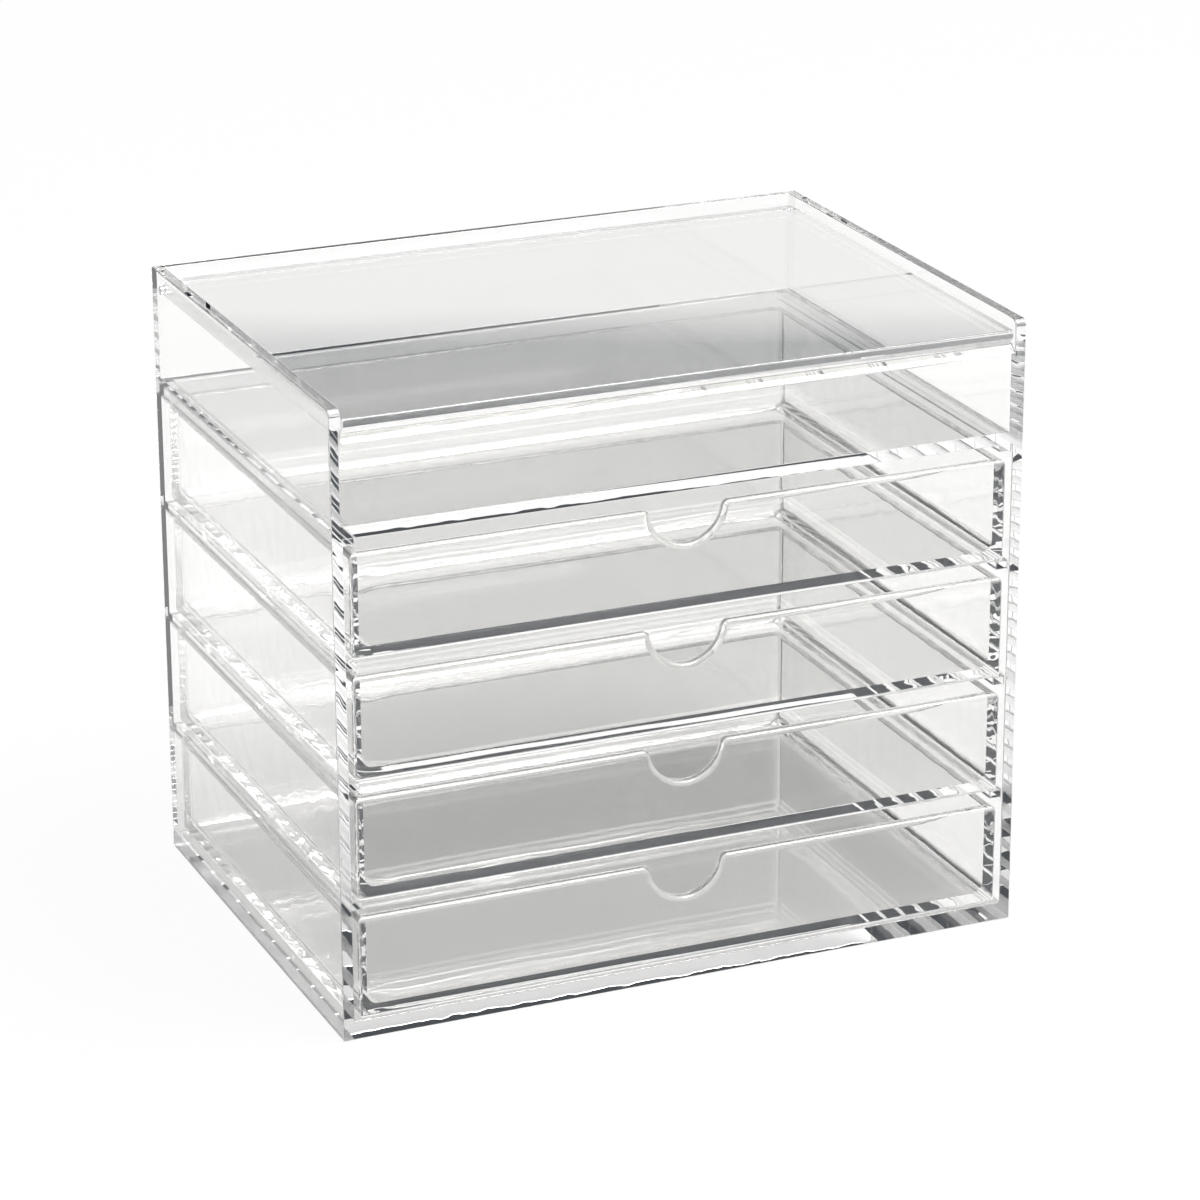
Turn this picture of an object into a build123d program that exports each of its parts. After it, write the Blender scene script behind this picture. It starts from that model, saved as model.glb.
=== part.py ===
"""Clear acrylic drawer chest: a bonded casing with a lidded compartment on top and four drawers below.

Millimetres. The origin is the middle of the underside, X runs across the front,
-Y points out of the open front and +Z is up.
"""
import os

from build123d import *

# Overall size of the closed chest
overall_width = 187.0
overall_depth = 135.0
overall_height = 165.0

# Sheets bonded into the casing
side_thickness = 3.0
back_thickness = 2.0
base_thickness = 5.0
shelf_thickness = 2.5
front_thickness = 3.0
side_corner_radius = 2.0

# Rails bonded inside the side panels
rail_width = 3.2
rail_thickness = 2.2
rail_setback = 1.0

# Lid between the side panels
lid_thickness = 4.0
lid_recess = 2.6
lid_side_clearance = 0.7
lid_rear_gap = 3.0
lid_rest_gap = 0.2
lid_edge_radius = 0.4

# Compartment under the lid, and the finger groove where the lid meets its front panel
compartment_height = 23.7
groove_bevel = 2.0

# Hinge pins, pressed into the side panels and loose in the lid
pin_diameter = 2.0
pin_engagement = 3.0
pin_clearance = 0.1
pin_tip_clearance = 0.5
pin_chamfer = 0.4

# Drawers
drawer_count = 4
drawer_headroom = 1.8
drawer_side_clearance = 1.65
drawer_rear_clearance = 1.0
drawer_running_clearance = 0.2
drawer_floor = 2.8
drawer_front_wall = 3.2
drawer_side_wall = 2.5
drawer_back_wall = 3.0
drawer_corner_radius = 0.6
drawer_inner_radius = 3.0
drawer_foot_radius = 1.2
drawer_rim_radius = 1.5
notch_radius = 9.9
notch_shoulder_radius = 2.0

# Cuts run past the faces that they open by this much
cut_overrun = 1.0

# Planes of the casing that the other pieces follow
half_width = overall_width / 2
front_y = -overall_depth / 2
rear_y = overall_depth / 2
inner_half_width = half_width - side_thickness
back_face_y = rear_y - back_thickness

# Heights, worked out downwards from the lid
lid_top = overall_height - lid_recess
lid_bottom = lid_top - lid_thickness
front_top = lid_bottom - lid_rest_gap
shelf_top = lid_bottom - compartment_height
shelf_bottom = shelf_top - shelf_thickness
tier_pitch = (shelf_bottom - base_thickness) / drawer_count
drawer_height = tier_pitch - drawer_running_clearance - drawer_headroom - rail_thickness

# Hinge axis, at the middle of the lid's thickness
pin_y = back_face_y - lid_rear_gap - lid_thickness / 2
pin_z = lid_bottom + lid_thickness / 2
lid_half_width = inner_half_width - lid_side_clearance


def block(low, high):
    """Box from its lowest corner to its highest corner."""
    size = Vector(high) - Vector(low)
    return Pos(*low) * Box(size.X, size.Y, size.Z, align=Align.MIN)


def sheet_between_sides(start_y, end_y, bottom_z, top_z):
    """Sheet that is bonded to both side panels."""
    return block((-inner_half_width, start_y, bottom_z), (inner_half_width, end_y, top_z))


def edges_across_front(piece):
    """The edges along X on the front face, from the lowest to the highest."""
    return piece.faces().sort_by(Axis.Y)[0].edges().filter_by(Axis.X).sort_by(Axis.Z)


def hinge_rod(diameter, start_x, end_x):
    """Round bar on the hinge axis, from one X to a larger one."""
    bar = Cylinder(diameter / 2, end_x - start_x, align=(Align.CENTER, Align.CENTER, Align.MIN))
    return Pos(start_x, pin_y, pin_z) * Rot(Y=90) * bar


def right_side_panel():
    """Side sheet with its front top corner eased and a bore for the pin."""
    sheet = block((inner_half_width, front_y, 0), (half_width, rear_y, overall_height))
    sheet = fillet(edges_across_front(sheet)[-1], side_corner_radius)
    return sheet - hinge_rod(pin_diameter, inner_half_width - cut_overrun, half_width + cut_overrun)


def front_panel():
    """Front of the compartment, standing on the shelf, with the lower half of the finger groove."""
    sheet = sheet_between_sides(front_y, front_y + front_thickness, shelf_top, front_top)
    return chamfer(edges_across_front(sheet)[-1], groove_bevel)


def right_rail(top_z):
    """Square strip along the inside of the side panel, with its upper face at top_z."""
    low = (inner_half_width - rail_width, front_y + rail_setback, top_z - rail_thickness)
    return block(low, (inner_half_width, back_face_y, top_z))


def right_hinge_pin():
    """Pin flush with the outside of the panel, with a chamfered tip inside the lid."""
    tip_x = lid_half_width - pin_engagement
    pin = hinge_rod(pin_diameter, tip_x, half_width)
    return chamfer(pin.edges().sort_by(Axis.X)[0], pin_chamfer)


def lid():
    """Plate with the upper half of the finger groove and a blind bore at each end of its back edge."""
    plate = block((-lid_half_width, front_y, lid_bottom), (lid_half_width, back_face_y - lid_rear_gap, lid_top))
    plate = chamfer(edges_across_front(plate)[0], groove_bevel)
    plate = fillet(edges_across_front(plate)[-1], lid_edge_radius)
    bore_end = lid_half_width - pin_engagement - pin_tip_clearance
    bore_diameter = pin_diameter + 2 * pin_clearance
    plate -= hinge_rod(bore_diameter, bore_end, lid_half_width + cut_overrun)
    plate -= hinge_rod(bore_diameter, -lid_half_width - cut_overrun, -bore_end)
    return plate


def drawer(bottom_z):
    """Moulded drawer: sides and back swept into the floor, and a flat front wall with a half-round notch."""
    reach = inner_half_width - drawer_side_clearance
    rear = back_face_y - drawer_rear_clearance
    top_z = bottom_z + drawer_height
    box = block((-reach, front_y, bottom_z), (reach, rear, top_z))
    front_uprights = box.faces().sort_by(Axis.Y)[0].edges().filter_by(Axis.Z)
    box = fillet(front_uprights, drawer_corner_radius)
    box = fillet(edges_across_front(box)[0], drawer_foot_radius)

    cavity_reach = reach - drawer_side_wall
    cavity_low = (-cavity_reach, front_y + drawer_front_wall, bottom_z + drawer_floor)
    cavity = block(cavity_low, (cavity_reach, rear - drawer_back_wall, top_z + cut_overrun))
    corners = cavity.edges().filter_by(Axis.Z) + cavity.faces().sort_by(Axis.Z)[0].edges()
    behind_front_wall = cavity.faces().sort_by(Axis.Y)[0].edges()
    box -= fillet(corners - behind_front_wall, drawer_inner_radius)

    cutter = Cylinder(notch_radius, drawer_front_wall + 2 * cut_overrun)
    box -= Pos(0, front_y + drawer_front_wall / 2, top_z) * Rot(X=90) * cutter
    across_wall = box.edges().filter_by(Axis.Y).group_by(Axis.Z)[-1]
    shoulders = across_wall.filter_by_position(Axis.X, -notch_radius, notch_radius)
    box = fillet(shoulders, notch_shoulder_radius)

    # The front wall is rounded on both sides, notch included, and the outer rounding runs on along the sides
    across_front = box.faces().sort_by(Axis.Z)[-1].edges().filter_by(Axis.X)
    rim = across_front.filter_by_position(Axis.Y, front_y, front_y + drawer_front_wall)
    return fillet(rim, drawer_rim_radius)


def mirrored_pair(name, right_piece):
    """A right-hand piece and its left-hand mirror image, under their own names."""
    return {"right_" + name: right_piece, "left_" + name: mirror(right_piece, about=Plane.YZ)}


pieces = {
    "base_panel": sheet_between_sides(front_y, back_face_y, 0, base_thickness),
    "back_panel": sheet_between_sides(back_face_y, rear_y, 0, overall_height),
    "shelf": sheet_between_sides(front_y, back_face_y, shelf_bottom, shelf_top),
    "front_panel": front_panel(),
    "lid": lid(),
}
pieces.update(mirrored_pair("side_panel", right_side_panel()))
pieces.update(mirrored_pair("hinge_pin", right_hinge_pin()))
pieces.update(mirrored_pair("shelf_rail", right_rail(shelf_bottom)))

# Drawer 1 is the highest. The lowest one has no rails and runs on the base panel.
for number in range(1, drawer_count + 1):
    seat_z = shelf_bottom - number * tier_pitch
    pieces[f"drawer_{number}"] = drawer(seat_z + drawer_running_clearance)
    if number < drawer_count:
        pieces.update(mirrored_pair(f"drawer_{number}_rail", right_rail(seat_z)))

os.makedirs("parts", exist_ok=True)
for name, piece in pieces.items():
    export_step(piece, f"parts/{name}.step")
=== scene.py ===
# %% [markdown]
# # Clear acrylic drawer chest
# The chest is a tabletop organizer made of clear plastic: a casing of bonded sheets, a hinged lid over a
# shallow compartment, and four moulded drawers. Almost nothing on it has a colour. What the eye reads is
# light that bends at every face, so this lesson is about exact shapes, exact normals and a studio that
# gives the faces something to show.

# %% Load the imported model
import math

import bmesh
import bpy
from mathutils import Matrix, Vector


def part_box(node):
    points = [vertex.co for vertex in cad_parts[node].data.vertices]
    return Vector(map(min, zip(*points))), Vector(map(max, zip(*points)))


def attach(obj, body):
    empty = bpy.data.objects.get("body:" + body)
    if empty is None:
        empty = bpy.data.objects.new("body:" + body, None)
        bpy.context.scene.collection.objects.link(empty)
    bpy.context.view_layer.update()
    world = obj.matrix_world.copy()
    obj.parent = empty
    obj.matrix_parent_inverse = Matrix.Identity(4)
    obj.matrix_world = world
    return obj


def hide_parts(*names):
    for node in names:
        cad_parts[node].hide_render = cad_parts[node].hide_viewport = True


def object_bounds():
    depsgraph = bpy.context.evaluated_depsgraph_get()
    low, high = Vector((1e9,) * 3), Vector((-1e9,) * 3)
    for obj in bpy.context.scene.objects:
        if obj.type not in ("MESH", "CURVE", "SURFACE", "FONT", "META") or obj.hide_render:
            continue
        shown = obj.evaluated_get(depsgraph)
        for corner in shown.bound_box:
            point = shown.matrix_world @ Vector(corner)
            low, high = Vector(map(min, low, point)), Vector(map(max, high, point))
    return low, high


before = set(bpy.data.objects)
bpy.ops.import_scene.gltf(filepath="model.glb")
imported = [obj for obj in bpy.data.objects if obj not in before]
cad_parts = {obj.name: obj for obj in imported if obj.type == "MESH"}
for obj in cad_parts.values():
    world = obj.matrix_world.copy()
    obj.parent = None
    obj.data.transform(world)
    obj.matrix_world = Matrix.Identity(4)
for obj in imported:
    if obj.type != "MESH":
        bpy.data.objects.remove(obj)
cad_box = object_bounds()
scene = bpy.context.scene
MM = 0.001
print("nodes in the frame:", len(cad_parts))

# %% [markdown]
# ## Camera
# The view was found by fitting a pinhole camera to the casing's corners, which are known from the chest's
# real size. A long lens from a little above and to the left keeps the upright edges almost parallel.
# The focal length is kept in pixels of the square picture, because that is what the fit measures, and the
# lens in millimetres follows from the sensor's width.

# %% Camera
CAMERA_PLACE = Vector((-438.6, -1035.1, 495.8)) * MM
CAMERA_AZIMUTH = math.radians(-23.21)
CAMERA_ELEVATION = math.radians(20.27)
CAMERA_ROLL = math.radians(-0.21)
FOCAL_PIXELS = 4550.2
PICTURE_PIXELS = 1200
SENSOR_WIDTH = 36.0


def make_camera():
    """Camera that looks down on the front left corner of the chest."""
    lens = bpy.data.cameras.new("camera")
    lens.sensor_width = SENSOR_WIDTH
    lens.lens = SENSOR_WIDTH * FOCAL_PIXELS / PICTURE_PIXELS
    lens.clip_start = 10 * MM
    camera = bpy.data.objects.new("camera", lens)
    scene.collection.objects.link(camera)
    level = math.cos(CAMERA_ELEVATION)
    backwards = Vector((math.sin(CAMERA_AZIMUTH) * level, -math.cos(CAMERA_AZIMUTH) * level,
                        math.sin(CAMERA_ELEVATION)))
    upright = backwards.to_track_quat("Z", "Y").to_matrix()
    turned = upright @ Matrix.Rotation(CAMERA_ROLL, 3, "Z")
    camera.matrix_world = Matrix.Translation(CAMERA_PLACE) @ turned.to_4x4()
    scene.camera = camera
    return camera


camera = make_camera()
scene.view_settings.view_transform = "Standard"
print("camera lens in millimetres:", round(camera.data.lens, 1))

# %% [markdown]
# ## Light paths
# A look through the chest crosses up to forty faces before it reaches the table. Each face counts as one
# bounce, so Cycles needs far more bounces here than for solid things: with too few, the lower drawers
# would turn black.

# %% Light paths
CLEAR_BOUNCES = 48
scene.cycles.max_bounces = CLEAR_BOUNCES
scene.cycles.transmission_bounces = CLEAR_BOUNCES
scene.cycles.glossy_bounces = CLEAR_BOUNCES
scene.cycles.use_denoising = True
print("bounces:", scene.cycles.max_bounces)

# %% [markdown]
# ## Handling marks
# Clear plastic that has been lifted out of its box is never perfectly blank: it has a few hairline
# scratches and a slight unevenness that only shows at a glancing angle. All the plastics on the chest share
# this, so it is one shader node group with its own scale and strength in each material. It puts out a
# roughness that is exactly zero between the scratches, so that the sheets stay optically clear, and a
# height for a bump. Short ripples are added to the height where a material gives them a height of their own.

# %% Helpers for shader nodes
def add_node(tree, kind, **inputs):
    """New node, with the inputs given by name set to plain values."""
    node = tree.nodes.new(kind)
    for name, value in inputs.items():
        node.inputs[name.replace("_", " ")].default_value = value
    return node


def calculate(tree, operation, first, second=0.0):
    """Output of a Math node whose two inputs are sockets or plain values."""
    node = tree.nodes.new("ShaderNodeMath")
    node.operation = operation
    for slot, value in enumerate((first, second)):
        if isinstance(value, float):
            node.inputs[slot].default_value = value
        else:
            tree.links.new(value, node.inputs[slot])
    return node.outputs["Value"]


def noise(tree, vector, scale, **inputs):
    """Output of a Noise Texture over the vector, with its scale from a socket."""
    node = add_node(tree, "ShaderNodeTexNoise", **inputs)
    tree.links.new(vector, node.inputs["Vector"])
    tree.links.new(scale, node.inputs["Scale"])
    return node.outputs["Fac"]


print("helpers for a node, a sum and a noise are ready")

# %% Handling marks group
MARK_INPUTS = ("Scratch Scale", "Scratch Roughness", "Wave Scale", "Wave Height", "Ripple Scale",
               "Ripple Height")
MARK_OUTPUTS = ("Roughness", "Height")
SCRATCH_STRETCH = (1.0, 60.0, 60.0)
SCRATCH_TURN = (0.35, 0.2, 0.8)
SCRATCH_FROM = 0.74
SCRATCH_FULL = 0.84
NOISE_MIDDLE = 0.5


def make_handling_marks():
    """Group that turns Object coordinates into hairline scratches, a faint waviness and short ripples."""
    group = bpy.data.node_groups.new("handling marks", "ShaderNodeTree")
    for name in MARK_INPUTS:
        group.interface.new_socket(name, in_out="INPUT", socket_type="NodeSocketFloat")
    for name in MARK_OUTPUTS:
        group.interface.new_socket(name, in_out="OUTPUT", socket_type="NodeSocketFloat")
    given = group.nodes.new("NodeGroupInput").outputs
    result = group.nodes.new("NodeGroupOutput").inputs
    place = group.nodes.new("ShaderNodeTexCoord").outputs["Object"]
    link = group.links.new

    # Long thin cells: a noise that is stretched along one direction and cut off near its peaks
    stretch = add_node(group, "ShaderNodeMapping", Scale=SCRATCH_STRETCH, Rotation=SCRATCH_TURN)
    link(place, stretch.inputs["Vector"])
    streaks = noise(group, stretch.outputs["Vector"], given["Scratch Scale"], Detail=1.0, Roughness=0.4)
    peaks = add_node(group, "ShaderNodeMapRange", From_Min=SCRATCH_FROM, From_Max=SCRATCH_FULL)
    link(streaks, peaks.inputs["Value"])
    scratches = calculate(group, "MULTIPLY", peaks.outputs["Result"], given["Scratch Roughness"])
    link(scratches, result["Roughness"])

    # Broad swells, and short ripples that are level on average
    swells = noise(group, place, given["Wave Scale"], Detail=0.0)
    ripples = noise(group, place, given["Ripple Scale"], Detail=0.0)
    level = calculate(group, "SUBTRACT", ripples, NOISE_MIDDLE)
    broad = calculate(group, "MULTIPLY", swells, given["Wave Height"])
    short = calculate(group, "MULTIPLY", level, given["Ripple Height"])
    link(calculate(group, "ADD", short, broad), result["Height"])
    return group


handling_marks = make_handling_marks()
print("group sockets:", [socket.name for socket in handling_marks.interface.items_tree])

# %% [markdown]
# ## Clear plastics
# Cast acrylic has a refractive index of 1.49 and takes almost no light away: three millimetres look as
# bright as air. A tint of even two percent, paid at every face, would make the lower drawers dirty, so the
# base colour stays a breath away from white and leans a little to the warm side. The drawers are mouldings:
# they have slightly more waviness than the sheets. Roughness and bump come from the shared group. The lid is
# of the same sheet as the casing, but its sawn edge lies elsewhere, so it has a material of its own.

# %% Clear plastics
ACRYLIC_IOR = 1.49
SHEET_TINT = (0.999, 0.997, 0.991)
SHEET_MARKS = {"Scratch Scale": 9.0, "Scratch Roughness": 0.02, "Wave Scale": 25.0, "Wave Height": 0.01}
MOULDING_TINT = (0.999, 0.998, 0.992)
MOULDING_MARKS = {"Scratch Scale": 7.0, "Scratch Roughness": 0.02, "Wave Scale": 40.0, "Wave Height": 0.03}


def plain_material(name, colour):
    """New material, with its node tree and its Principled BSDF."""
    material = bpy.data.materials.new(name)
    material.use_nodes = True
    tree = material.node_tree
    surface = tree.nodes["Principled BSDF"]
    surface.inputs["Base Color"].default_value = (*colour, 1.0)
    return material, tree, surface


def clear_plastic(name, tint, marks):
    """Clear polished plastic with its own amount of handling marks."""
    material, tree, surface = plain_material(name, tint)
    surface.inputs["IOR"].default_value = ACRYLIC_IOR
    surface.inputs["Transmission Weight"].default_value = 1.0
    group = tree.nodes.new("ShaderNodeGroup")
    group.node_tree = handling_marks
    for mark, value in marks.items():
        group.inputs[mark].default_value = value
    bump = add_node(tree, "ShaderNodeBump", Strength=1.0, Distance=MM)
    tree.links.new(group.outputs["Roughness"], surface.inputs["Roughness"])
    tree.links.new(group.outputs["Height"], bump.inputs["Height"])
    tree.links.new(bump.outputs["Normal"], surface.inputs["Normal"])
    return material


cast_sheet = clear_plastic("cast acrylic sheet", SHEET_TINT, SHEET_MARKS)
lid_sheet = clear_plastic("cast acrylic lid", SHEET_TINT, SHEET_MARKS)
moulded_clear = clear_plastic("clear drawer moulding", MOULDING_TINT, MOULDING_MARKS)
print("clear materials:", [material.name for material in (cast_sheet, lid_sheet, moulded_clear)])

# %% [markdown]
# ## Edges, bonds and moulded walls
# A flawless block of acrylic carries light like a light guide, and shows it at its edges as a hard checker
# of black and white. On the real chest four things break that up. The front edges of the sheets are polished
# by hand and ripple a little. Edges that nobody sees, under the side panels and behind the lid, stay as
# sawn. Solvent leaves a faint cloud where the base, the shelf and the rails are bonded on. And the side
# walls of the mouldings are never quite flat. A second mesh for each of these places would be a way, but the
# pieces are built where they stand, so Object coordinates tell a material where it is, and the frame gives
# the sizes.

# %% Finding a place on the chest
SKIN = 0.05 * MM


def rise(tree, value, start, end):
    """Output that rises from 0 to 1 while the value runs from start to end."""
    ramp = add_node(tree, "ShaderNodeMapRange", From_Min=start, From_Max=end)
    tree.links.new(value, ramp.inputs["Value"])
    return ramp.outputs["Result"]


def coordinates(tree):
    """Outputs for the distance across from the middle plane, the depth and the height."""
    place = tree.nodes.new("ShaderNodeTexCoord")
    parts = tree.nodes.new("ShaderNodeSeparateXYZ")
    tree.links.new(place.outputs["Object"], parts.inputs["Vector"])
    across = calculate(tree, "ABSOLUTE", parts.outputs["X"])
    return {"across": across, "depth": parts.outputs["Y"], "height": parts.outputs["Z"]}


def roughen(tree, mask, roughness):
    """Roughness where the mask is one, over what the surface has already."""
    socket = tree.nodes["Principled BSDF"].inputs["Roughness"]
    before = socket.links[0].from_socket
    after = calculate(tree, "MAXIMUM", before, calculate(tree, "MULTIPLY", mask, roughness))
    tree.links.new(after, socket)


def ripple(tree, mask, height, scale):
    """Short ripples where the mask is one."""
    marks = next(node for node in tree.nodes if node.type == "GROUP")
    marks.inputs["Ripple Scale"].default_value = scale
    tree.links.new(calculate(tree, "MULTIPLY", mask, height), marks.inputs["Ripple Height"])


print("a face is found to within", SKIN, "metres")

# %% Sheet edges
EDGE_RIPPLE_HEIGHT = 0.025
EDGE_RIPPLE_SCALE = 300.0
SAWN_ROUGHNESS = 0.9


def finish_sheet_edges(tree):
    """Ripples on the front edges of the sheets, and sawn bottom edges on the side panels."""
    place = coordinates(tree)
    front_y = cad_box[0][1]
    between_sides = calculate(tree, "LESS_THAN", place["across"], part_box("right_side_panel")[0].x)
    above_shelf = calculate(tree, "GREATER_THAN", place["height"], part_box("shelf")[1].z + 2 * SKIN)
    front_panel = calculate(tree, "MULTIPLY", between_sides, above_shelf)
    front = rise(tree, place["depth"], front_y + 6 * SKIN, front_y + 2 * SKIN)
    edge = calculate(tree, "MULTIPLY", front, calculate(tree, "SUBTRACT", 1.0, front_panel))
    ripple(tree, edge, EDGE_RIPPLE_HEIGHT, EDGE_RIPPLE_SCALE)
    bottom = calculate(tree, "LESS_THAN", place["height"], SKIN)
    under_side = calculate(tree, "MULTIPLY", bottom, calculate(tree, "SUBTRACT", 1.0, between_sides))
    roughen(tree, under_side, SAWN_ROUGHNESS)


finish_sheet_edges(cast_sheet.node_tree)
print("edges rippled and sawn on", cast_sheet.name)

# %% Bond lines
BOND_ROUGHNESS = 0.25


def finish_bond_lines(tree, nodes):
    """Faint cloud on the outside of the side panels, over each node that is bonded to them."""
    place = coordinates(tree)
    strips = 0.0
    for node in nodes:
        low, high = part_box(node)
        above = calculate(tree, "GREATER_THAN", place["height"], low.z + SKIN)
        below = calculate(tree, "LESS_THAN", place["height"], high.z)
        strips = calculate(tree, "MAXIMUM", strips, calculate(tree, "MULTIPLY", above, below))
    outside = calculate(tree, "GREATER_THAN", place["across"], cad_box[1][0] - SKIN)
    roughen(tree, calculate(tree, "MULTIPLY", outside, strips), BOND_ROUGHNESS)


right_rails = [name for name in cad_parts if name.startswith("right_") and name.endswith("_rail")]
finish_bond_lines(cast_sheet.node_tree, ["base_panel", "shelf"] + right_rails)
print("bond lines over the base, the shelf and", len(right_rails), "rails on each side")

# %% Lid edge and moulded walls
LID_EDGE_ROUGHNESS = 0.2
WALL_RIPPLE_HEIGHT = 0.06
WALL_RIPPLE_SCALE = 160.0
WALL_RIPPLE_FROM = 12.0 * MM
WALL_RIPPLE_FULL = 4.0 * MM


def finish_lid_edge(tree):
    """Sawn back edge of the lid."""
    depth = coordinates(tree)["depth"]
    back_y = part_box("lid")[1].y
    roughen(tree, rise(tree, depth, back_y - 3 * SKIN, back_y - SKIN), LID_EDGE_ROUGHNESS)


def finish_moulded_walls(tree):
    """Ripples that grow towards the side walls of the drawers."""
    across = coordinates(tree)["across"]
    wall_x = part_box("drawer_1")[1].x
    wall = rise(tree, across, wall_x - WALL_RIPPLE_FROM, wall_x - WALL_RIPPLE_FULL)
    ripple(tree, wall, WALL_RIPPLE_HEIGHT, WALL_RIPPLE_SCALE)


finish_lid_edge(lid_sheet.node_tree)
finish_moulded_walls(moulded_clear.node_tree)
print("sawn edge on", lid_sheet.name, "and rippled walls on", moulded_clear.name)

# %% [markdown]
# ## Rails
# Eight square strips carry the shelf and the upper three drawers. They repeat at one pitch on both sides,
# which is a job for Geometry Nodes: a line of points per side, one bar on each point. Each strip is
# solvent-bonded to its side panel, so it reaches into the panel here and is merged with it in the next
# step. Named inputs hold the sizes, which come from the frame.

# %% Rail tree
def make_rail_tree():
    """Tree that puts bars on two columns of points, one column for each side panel."""
    tree = bpy.data.node_groups.new("tier rails", "GeometryNodeTree")
    tree.interface.new_socket("Geometry", in_out="OUTPUT", socket_type="NodeSocketGeometry")
    kinds = {
        "Bar Size": "NodeSocketVector",
        "Lowest Bar": "NodeSocketVector",
        "Tier Pitch": "NodeSocketFloat",
        "Tiers": "NodeSocketInt",
        "Finish": "NodeSocketMaterial",
    }
    sockets = {}
    for name, kind in kinds.items():
        sockets[name] = tree.interface.new_socket(name, in_out="INPUT", socket_type=kind).identifier
    given = tree.nodes.new("NodeGroupInput")
    result = tree.nodes.new("NodeGroupOutput")
    link = tree.links.new
    bar = tree.nodes.new("GeometryNodeMeshCube")
    step = tree.nodes.new("ShaderNodeCombineXYZ")
    both = tree.nodes.new("GeometryNodeJoinGeometry")
    mirror = tree.nodes.new("ShaderNodeVectorMath")
    mirror.operation = "MULTIPLY"
    mirror.inputs[1].default_value = (-1.0, 1.0, 1.0)
    link(given.outputs["Bar Size"], bar.inputs["Size"])
    link(given.outputs["Tier Pitch"], step.inputs["Z"])
    link(given.outputs["Lowest Bar"], mirror.inputs[0])
    for start in (given.outputs["Lowest Bar"], mirror.outputs["Vector"]):
        column = tree.nodes.new("GeometryNodeMeshLine")
        column.mode = "OFFSET"
        link(given.outputs["Tiers"], column.inputs["Count"])
        link(start, column.inputs["Start Location"])
        link(step.outputs["Vector"], column.inputs["Offset"])
        link(column.outputs["Mesh"], both.inputs["Geometry"])
    place = tree.nodes.new("GeometryNodeInstanceOnPoints")
    solid = tree.nodes.new("GeometryNodeRealizeInstances")
    finish = tree.nodes.new("GeometryNodeSetMaterial")
    link(both.outputs["Geometry"], place.inputs["Points"])
    link(bar.outputs["Mesh"], place.inputs["Instance"])
    link(place.outputs["Instances"], solid.inputs["Geometry"])
    link(solid.outputs["Geometry"], finish.inputs["Geometry"])
    link(given.outputs["Finish"], finish.inputs["Material"])
    link(finish.outputs["Geometry"], result.inputs["Geometry"])
    return tree, sockets


def new_piece(name, mesh):
    """Object at the origin that shows the mesh."""
    piece = bpy.data.objects.new(name, mesh)
    scene.collection.objects.link(piece)
    return piece


def final_mesh(piece):
    """Plain mesh of what the piece's modifiers give."""
    graph = bpy.context.evaluated_depsgraph_get()
    return bpy.data.meshes.new_from_object(piece.evaluated_get(graph))


def make_rails(bond):
    """All rails as one mesh, each reaching by the bond into its side panel and into the back."""
    low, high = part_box("right_drawer_3_rail")
    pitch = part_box("right_drawer_2_rail")[0].z - low.z
    high.x += bond
    high.y += bond
    tree, sockets = make_rail_tree()
    piece = new_piece("tier_rails", bpy.data.meshes.new("tier_rails"))
    modifier = piece.modifiers.new("tier rails", "NODES")
    modifier.node_group = tree
    modifier[sockets["Bar Size"]] = high - low
    modifier[sockets["Lowest Bar"]] = (low + high) / 2
    modifier[sockets["Tier Pitch"]] = pitch
    modifier[sockets["Tiers"]] = len(right_rails)
    modifier[sockets["Finish"]] = cast_sheet
    mesh = final_mesh(piece)
    piece.modifiers.clear()
    piece.data = mesh
    return piece


BOND = 1.0 * MM
rails = make_rails(BOND)
print("rail faces:", len(rails.data.polygons))

# %% [markdown]
# ## Casing
# The sheets are joined with solvent, which melts the two surfaces into one: at a good joint there is no
# face left inside for light to bounce on. Separate boxes that only touch would show dark seams, so all
# bonded sheets and rails are merged with an exact boolean into one skin. Each sheet is an outline in the
# side view, drawn across the width. The side panels have a rounded top corner, and the front panel of the
# compartment has a bevel, the lower half of the groove that a fingertip lifts the lid by.

# %% Casing sheets
SIDE_CORNER_RADIUS = 2.0 * MM
GROOVE_BEVEL = 2.0 * MM
CORNER_STEPS = 12


def drawn_across(name, outline, start_x, end_x):
    """Solid with a side-view outline of (y, z) points, drawn from one X to another."""
    bm = bmesh.new()
    face = bm.faces.new([bm.verts.new((start_x, y, z)) for y, z in outline])
    drawn = bmesh.ops.extrude_face_region(bm, geom=[face])
    moved = [part for part in drawn["geom"] if isinstance(part, bmesh.types.BMVert)]
    bmesh.ops.translate(bm, verts=moved, vec=(end_x - start_x, 0, 0))
    bmesh.ops.recalc_face_normals(bm, faces=bm.faces)
    mesh = bpy.data.meshes.new(name)
    bm.to_mesh(mesh)
    bm.free()
    return new_piece(name, mesh)


def rectangle(low, high):
    """Side-view outline of a box."""
    return [(low.y, low.z), (high.y, low.z), (high.y, high.z), (low.y, high.z)]


def side_outline(low, high):
    """Rectangle whose front top corner is rounded."""
    corner = []
    for step in range(CORNER_STEPS + 1):
        angle = math.pi / 2 * step / CORNER_STEPS
        corner.append((low.y + SIDE_CORNER_RADIUS * (1 - math.sin(angle)),
                       high.z - SIDE_CORNER_RADIUS * (1 - math.cos(angle))))
    return rectangle(low, high)[:3] + corner


def front_outline(low, high):
    """Rectangle whose front top edge is bevelled."""
    bevel = [(low.y + GROOVE_BEVEL, high.z), (low.y, high.z - GROOVE_BEVEL)]
    return rectangle(low, high)[:3] + bevel


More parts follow.
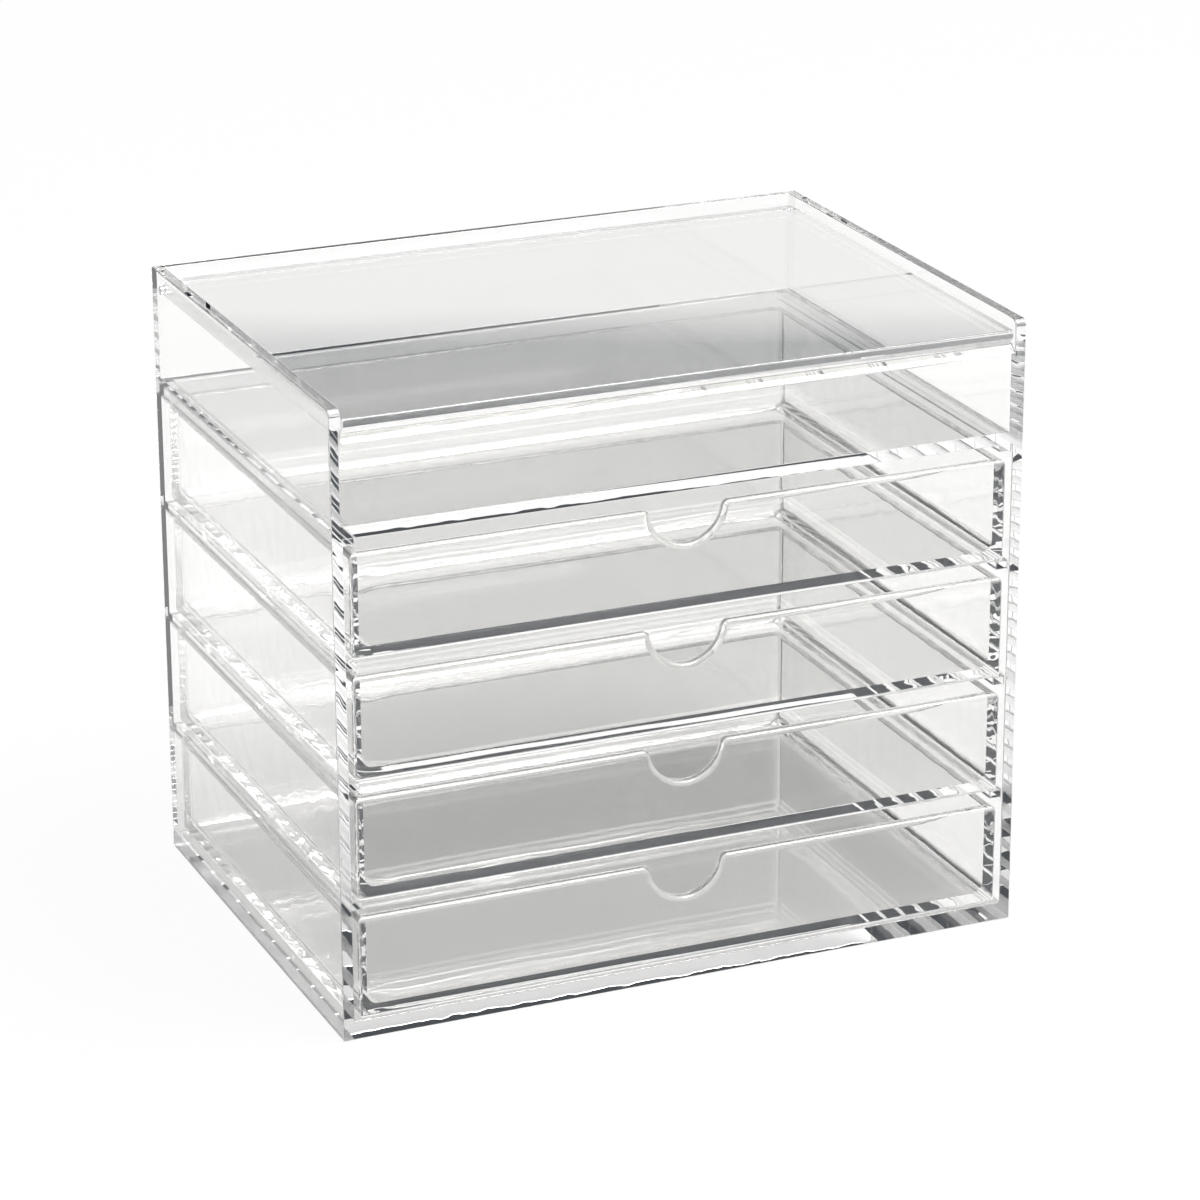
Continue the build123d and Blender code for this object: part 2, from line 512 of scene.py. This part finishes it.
def make_sheets(bond):
    """Every bonded sheet. Those between the side panels reach into them by the bond."""
    sheets = []
    for node in ("left_side_panel", "right_side_panel"):
        low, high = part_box(node)
        sheets.append(drawn_across(node + "_sheet", side_outline(low, high), low.x, high.x))
    for node in ("back_panel", "base_panel", "shelf", "front_panel"):
        low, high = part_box(node)
        if node in ("base_panel", "shelf"):
            high.y += bond
        if node == "front_panel":
            low.z -= bond
        outline = front_outline(low, high) if node == "front_panel" else rectangle(low, high)
        sheets.append(drawn_across(node + "_sheet", outline, low.x - bond, high.x + bond))
    return sheets


sheets = make_sheets(BOND)
print("sheets:", len(sheets))

# %% [markdown]
# The hinge pins sit in drilled holes, so two rods are cut from the merged skin. A boolean hands its corners
# back in no fixed order, so they are sorted by place before the flat faces are merged, and every run gives
# the same mesh. A rounded edge of a quarter of a millimetre finishes it: flame-polished acrylic has no knife
# edges, and that thin rounding is what draws the fine bright and dark lines along every sheet. The same
# modifier leaves a small fillet in the inner corners, as the squeezed-out solvent does.

# %% Bonded casing
EDGE_ROUNDING = 0.25 * MM
ROUNDING_SEGMENTS = 2
ROUNDING_FROM = math.radians(20)
PIN_FIT = 0.02 * MM
ROD_SIDES = 48
PLACE_DIGITS = 7
SKIN_WELD = 0.001 * MM
SAME_PLANE = math.radians(0.5)


def in_collection(name, pieces):
    """Collection that holds the pieces and nothing else."""
    group = bpy.data.collections.new(name)
    scene.collection.children.link(group)
    for piece in pieces:
        scene.collection.objects.unlink(piece)
        group.objects.link(piece)
    return group


def cut_or_join(piece, operation, pieces):
    """Exact boolean of the piece with all the others, which are used up."""
    modifier = piece.modifiers.new(operation, "BOOLEAN")
    modifier.operation = operation
    modifier.solver = "EXACT"
    modifier.operand_type = "COLLECTION"
    group = in_collection(operation, pieces)
    modifier.collection = group
    mesh = final_mesh(piece)
    piece.modifiers.clear()
    piece.data = mesh
    bpy.data.collections.remove(group)
    for used in pieces:
        bpy.data.objects.remove(used)


def pin_hole(node):
    """Rod along X that is a hair wider than the pin and runs past both faces of its panel."""
    low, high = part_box(node)
    middle = (low + high) / 2
    radius = (high.z - low.z) / 2 + PIN_FIT
    outline = []
    for step in range(ROD_SIDES):
        angle = 2 * math.pi * step / ROD_SIDES
        outline.append((middle.y + radius * math.cos(angle), middle.z + radius * math.sin(angle)))
    return drawn_across(node + "_hole", outline, low.x - BOND, high.x + BOND)


def sort_by_place(mesh):
    """Fixed order for corners and faces, because the order that a boolean gives changes from run to run."""
    places = [tuple(round(value, PLACE_DIGITS) for value in vert.co) for vert in mesh.vertices]
    order = sorted(range(len(places)), key=places.__getitem__)
    ranks = {index: rank for rank, index in enumerate(order)}
    faces = []
    for face in mesh.polygons:
        ring = [ranks[index] for index in face.vertices]
        first = ring.index(min(ring))
        faces.append(ring[first:] + ring[:first])
    mesh.clear_geometry()
    mesh.from_pydata([places[index] for index in order], [], sorted(faces))


def merge_flat_faces(mesh):
    """Weld doubles and drop the edges between faces in one plane."""
    sort_by_place(mesh)
    bm = bmesh.new()
    bm.from_mesh(mesh)
    bmesh.ops.remove_doubles(bm, verts=bm.verts, dist=SKIN_WELD)
    bmesh.ops.dissolve_limit(bm, angle_limit=SAME_PLANE, verts=bm.verts, edges=bm.edges)
    bmesh.ops.recalc_face_normals(bm, faces=bm.faces)
    closed = all(edge.is_manifold for edge in bm.edges)
    bm.to_mesh(mesh)
    bm.free()
    return closed


def make_casing():
    """One skin for everything that is bonded."""
    casing = sheets[0]
    casing.name = "bonded_casing"
    cut_or_join(casing, "UNION", sheets[1:] + [rails])
    cut_or_join(casing, "DIFFERENCE", [pin_hole("left_hinge_pin"), pin_hole("right_hinge_pin")])
    closed = merge_flat_faces(casing.data)
    casing.data.name = casing.name
    casing.data.materials.clear()
    casing.data.materials.append(cast_sheet)
    for face in casing.data.polygons:
        face.material_index = 0
        face.use_smooth = True
    rounding = casing.modifiers.new("polished edges", "BEVEL")
    rounding.width = EDGE_ROUNDING
    rounding.segments = ROUNDING_SEGMENTS
    rounding.limit_method = "ANGLE"
    rounding.angle_limit = ROUNDING_FROM
    rounding.harden_normals = True
    return casing, closed


casing, casing_closed = make_casing()
bonded_nodes = [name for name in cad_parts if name.endswith(("_panel", "_rail", "shelf"))]
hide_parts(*bonded_nodes)
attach(casing, "casing")
print("casing stands for", len(bonded_nodes), "nodes, closed skin:", casing_closed)

# %% [markdown]
# ## Drawers and lid
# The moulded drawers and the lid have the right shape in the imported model, but its meshes are loose
# triangles. On clear plastic that matters: an averaged normal near a fillet bends the light of a whole flat
# wall and makes it look wavy. So each copy is welded, every flat face keeps its own exact normal, and only
# the fillets between them are smooth, leaning on the flat faces that they run into.

# %% Exact normals
CREASE = math.radians(30)
FLAT = 0.99999
COPY_WELD = 0.002 * MM
SLIVER = 0.0001 * MM


def is_flat(normal):
    """True for a face that is square to one of the axes."""
    return max(abs(value) for value in normal) > FLAT


def faces_round(loop):
    """The faces about the loop's corner that meet without a crease, found outwards from its own face."""
    found = [loop.face]
    for face in found:
        for edge in face.edges:
            if loop.vert not in edge.verts:
                continue
            for other in edge.link_faces:
                if other not in found and other.normal.dot(face.normal) > math.cos(CREASE):
                    found.append(other)
    return found


def corner_normal(loop):
    """Normal of one corner of one face."""
    if is_flat(loop.face.normal):
        return loop.face.normal.copy()
    around = faces_round(loop)
    flat = {tuple(round(value) for value in face.normal) for face in around if is_flat(face.normal)}
    total = Vector()
    if flat:
        for normal in flat:
            total += Vector(normal)
        return total.normalized()
    for face in around:
        corner = next(other for other in face.loops if other.vert == loop.vert)
        total += face.normal * corner.calc_angle()
    return total.normalized()


def welded_copy(name, node, material):
    """Copy of a node's mesh with shared corners and exact normals."""
    bm = bmesh.new()
    bm.from_mesh(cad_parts[node].data)
    bmesh.ops.remove_doubles(bm, verts=bm.verts, dist=COPY_WELD)
    bmesh.ops.dissolve_degenerate(bm, dist=SLIVER, edges=bm.edges)
    for face in bm.faces:
        face.smooth = True
    bm.normal_update()
    normals = [corner_normal(loop) for face in bm.faces for loop in face.loops]
    mesh = bpy.data.meshes.new(name)
    bm.to_mesh(mesh)
    bm.free()
    mesh.normals_split_custom_set(normals)
    mesh.materials.clear()
    mesh.materials.append(material)
    return new_piece(name, mesh)


# %% Drawers and lid
drawer_nodes = sorted(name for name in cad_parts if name.startswith("drawer_"))
for node in drawer_nodes:
    drawer = welded_copy(node + "_moulding", node, moulded_clear)
    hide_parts(node)
    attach(drawer, node)
    print(drawer.name, "triangles:", len(drawer.data.polygons))

lid = welded_copy("lid_plate", "lid", lid_sheet)
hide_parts("lid")
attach(lid, "lid")
print(lid.name, "triangles:", len(lid.data.polygons))

# %% [markdown]
# ## Hinge pins
# Two short steel pins, two millimetres thick, are pressed in from the sides. They are the only things on
# the chest that aren't clear. Cut wire has a fine turned grain, so rings about the pin's own axis vary the
# roughness and the height. A Wave Texture runs through twenty radians per unit, so its scale follows from
# the distance between the rings.

# %% Hinge pins
STEEL_COLOUR = (0.56, 0.57, 0.59)
STEEL_SMOOTH = 0.22
STEEL_WORN = 0.4
RING_SPACING = 0.24 * MM
RING_WANDER = 0.6
RING_HEIGHT = 0.02 * MM
RING_STRENGTH = 0.3
WAVE_RADIANS = 20.0


def turned_steel():
    """Bright steel with fine rings about the X axis."""
    material, tree, surface = plain_material("turned pin steel", STEEL_COLOUR)
    surface.inputs["Metallic"].default_value = 1.0
    place = tree.nodes.new("ShaderNodeTexCoord")
    ring_scale = 2 * math.pi / (WAVE_RADIANS * RING_SPACING)
    rings = add_node(tree, "ShaderNodeTexWave", Scale=ring_scale, Distortion=RING_WANDER, Detail=2.0)
    rings.wave_type = "BANDS"
    rings.bands_direction = "X"
    worn = add_node(tree, "ShaderNodeMapRange", To_Min=STEEL_SMOOTH, To_Max=STEEL_WORN)
    bump = add_node(tree, "ShaderNodeBump", Strength=RING_STRENGTH, Distance=RING_HEIGHT)
    tree.links.new(place.outputs["Object"], rings.inputs["Vector"])
    tree.links.new(rings.outputs["Fac"], worn.inputs["Value"])
    tree.links.new(worn.outputs["Result"], surface.inputs["Roughness"])
    tree.links.new(rings.outputs["Fac"], bump.inputs["Height"])
    tree.links.new(bump.outputs["Normal"], surface.inputs["Normal"])
    return material


pin_steel = turned_steel()
for node in ("left_hinge_pin", "right_hinge_pin"):
    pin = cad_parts[node]
    pin.data.materials.clear()
    pin.data.materials.append(pin_steel)
print("pins finished in", pin_steel.name)

# %% [markdown]
# ## Table
# The chest stands on a white table that runs out of the picture. Seen by the camera, in a reflection or
# through the plastic it is mostly plain white, and the rest of it answers to the lamps, so that the chest's
# soft shadow stays.

# %% Table
TABLE_SIZE = 12.0
TABLE_DROP = 0.2 * MM
TABLE_GREY = 0.66
WHITE_TO_CAMERA = 0.95
WHITE_THROUGH_PLASTIC = 0.55


def make_table():
    """Large plain plane just under the chest."""
    bm = bmesh.new()
    bmesh.ops.create_grid(bm, x_segments=1, y_segments=1, size=TABLE_SIZE / 2)
    bmesh.ops.translate(bm, verts=bm.verts, vec=(0, 0, cad_box[0][2] - TABLE_DROP))
    mesh = bpy.data.meshes.new("table")
    bm.to_mesh(mesh)
    bm.free()
    table = new_piece("table", mesh)
    return table


def white_table():
    """Diffuse white that reads as plain white to the camera and through the plastic."""
    material = bpy.data.materials.new("white table")
    material.use_nodes = True
    tree = material.node_tree
    tree.nodes.clear()
    link = tree.links.new
    matte = add_node(tree, "ShaderNodeBsdfDiffuse", Color=(TABLE_GREY, TABLE_GREY, TABLE_GREY, 1.0))
    plain = add_node(tree, "ShaderNodeEmission", Color=(1.0, 1.0, 1.0, 1.0), Strength=1.0)
    path = tree.nodes.new("ShaderNodeLightPath").outputs
    bent = calculate(tree, "MAXIMUM", path["Is Glossy Ray"], path["Is Transmission Ray"])
    through_plastic = calculate(tree, "MULTIPLY", bent, WHITE_THROUGH_PLASTIC)
    to_camera = calculate(tree, "MULTIPLY", path["Is Camera Ray"], WHITE_TO_CAMERA)
    share = calculate(tree, "ADD", to_camera, through_plastic)
    mixed = tree.nodes.new("ShaderNodeMixShader")
    out = tree.nodes.new("ShaderNodeOutputMaterial")
    link(share, mixed.inputs["Fac"])
    link(matte.outputs["BSDF"], mixed.inputs[1])
    link(plain.outputs["Emission"], mixed.inputs[2])
    link(mixed.outputs["Shader"], out.inputs["Surface"])
    return material


table = make_table()
table.data.materials.append(white_table())
print("table at height", round(table.data.vertices[0].co.z, 5))

# %% [markdown]
# ## Studio
# The pale grey of the shelf and the drawer floors is a reflection: a flat sheet seen at twenty degrees
# mirrors what stands twenty degrees above the table behind it. There the white sweep ends, and a dark gap
# opens under the bright ceiling. So the world is a ramp over elevation, with one set of stops for the half
# behind the chest and a milder one for the half in front of it, where the gap is only grey. Clear plastic
# turns that gap into its dark lines, which is why its edges are given to half a degree. The darkest stops
# are slightly blue, as daylight in an unlit corner is. A softbox overhead gives the table its soft shadow.

# %% Studio world
ROOM_BEHIND = ((12.0, 1.0), (15.0, 0.70), (16.6, 0.64), (17.0, 0.08), (18.5, 0.03), (27.0, 0.03),
               (35.0, 0.5), (50.0, 0.9), (75.0, 1.1), (90.0, 1.1))
ROOM_IN_FRONT = ((12.0, 1.0), (17.0, 0.35), (20.0, 0.25), (26.0, 0.25), (35.0, 0.9),
                 (75.0, 1.1), (90.0, 1.1))
DARK_LEVEL = 0.1
DARK_SHADE = (0.8, 1.0, 1.25)
WHITE = (1.0, 1.0, 1.0)
BEHIND_FROM = 0.4
BEHIND_TO = 0.8


def elevation_ramp(tree, height, stops):
    """Colour ramp over elevation, from pairs of degrees and brightness. What is dark is slightly blue."""
    ramp = tree.nodes.new("ShaderNodeValToRGB")
    elements = ramp.color_ramp.elements
    while len(elements) < len(stops):
        elements.new(0.5)
    for element, (elevation, level) in zip(elements, stops):
        element.position = math.sin(math.radians(elevation))
        shade = DARK_SHADE if level < DARK_LEVEL else WHITE
        element.color = (*[level * value for value in shade], 1.0)
    tree.links.new(height, ramp.inputs["Fac"])
    return ramp.outputs["Color"]


def make_world():
    """World that is shaded by elevation, with a darker room behind the chest than in front of it."""
    world = bpy.data.worlds.new("studio")
    world.use_nodes = True
    scene.world = world
    tree = world.node_tree
    tree.nodes.clear()
    link = tree.links.new
    direction = tree.nodes.new("ShaderNodeTexCoord")
    parts = tree.nodes.new("ShaderNodeSeparateXYZ")
    level = tree.nodes.new("ShaderNodeVectorMath")
    level.operation = "MULTIPLY"
    level.inputs[1].default_value = (1.0, 1.0, 0.0)
    compass = tree.nodes.new("ShaderNodeVectorMath")
    compass.operation = "NORMALIZE"
    flat = tree.nodes.new("ShaderNodeSeparateXYZ")
    behind = add_node(tree, "ShaderNodeMapRange", From_Min=BEHIND_FROM, From_Max=BEHIND_TO)
    behind.interpolation_type = "SMOOTHSTEP"
    mixed = tree.nodes.new("ShaderNodeMix")
    mixed.data_type = "RGBA"
    studio = tree.nodes.new("ShaderNodeBackground")
    out = tree.nodes.new("ShaderNodeOutputWorld")
    link(direction.outputs["Generated"], parts.inputs["Vector"])
    link(direction.outputs["Generated"], level.inputs[0])
    link(level.outputs["Vector"], compass.inputs[0])
    link(compass.outputs["Vector"], flat.inputs["Vector"])
    link(flat.outputs["Y"], behind.inputs["Value"])
    link(behind.outputs["Result"], mixed.inputs["Factor"])
    link(elevation_ramp(tree, parts.outputs["Z"], ROOM_IN_FRONT), mixed.inputs["A"])
    link(elevation_ramp(tree, parts.outputs["Z"], ROOM_BEHIND), mixed.inputs["B"])
    link(mixed.outputs["Result"], studio.inputs["Color"])
    link(studio.outputs["Background"], out.inputs["Surface"])
    return world


world = make_world()
print("world stops behind and in front:", len(ROOM_BEHIND), len(ROOM_IN_FRONT))

# %% Softbox
SOFTBOX_PLACE = Vector((0.55, -0.55, 1.6))
SOFTBOX_SIZE = 0.9
SOFTBOX_WATTS = 36.0


def make_softbox():
    """Large square lamp overhead, aimed at the chest."""
    light = bpy.data.lights.new("softbox", "AREA")
    light.shape = "SQUARE"
    light.size = SOFTBOX_SIZE
    light.energy = SOFTBOX_WATTS
    lamp = bpy.data.objects.new("softbox", light)
    scene.collection.objects.link(lamp)
    target = (Vector(cad_box[0]) + Vector(cad_box[1])) / 2
    lamp.location = SOFTBOX_PLACE
    lamp.rotation_euler = (target - SOFTBOX_PLACE).to_track_quat("-Z", "Y").to_euler()
    return lamp


softbox = make_softbox()
print("softbox over the chest:", tuple(round(value, 2) for value in softbox.location))
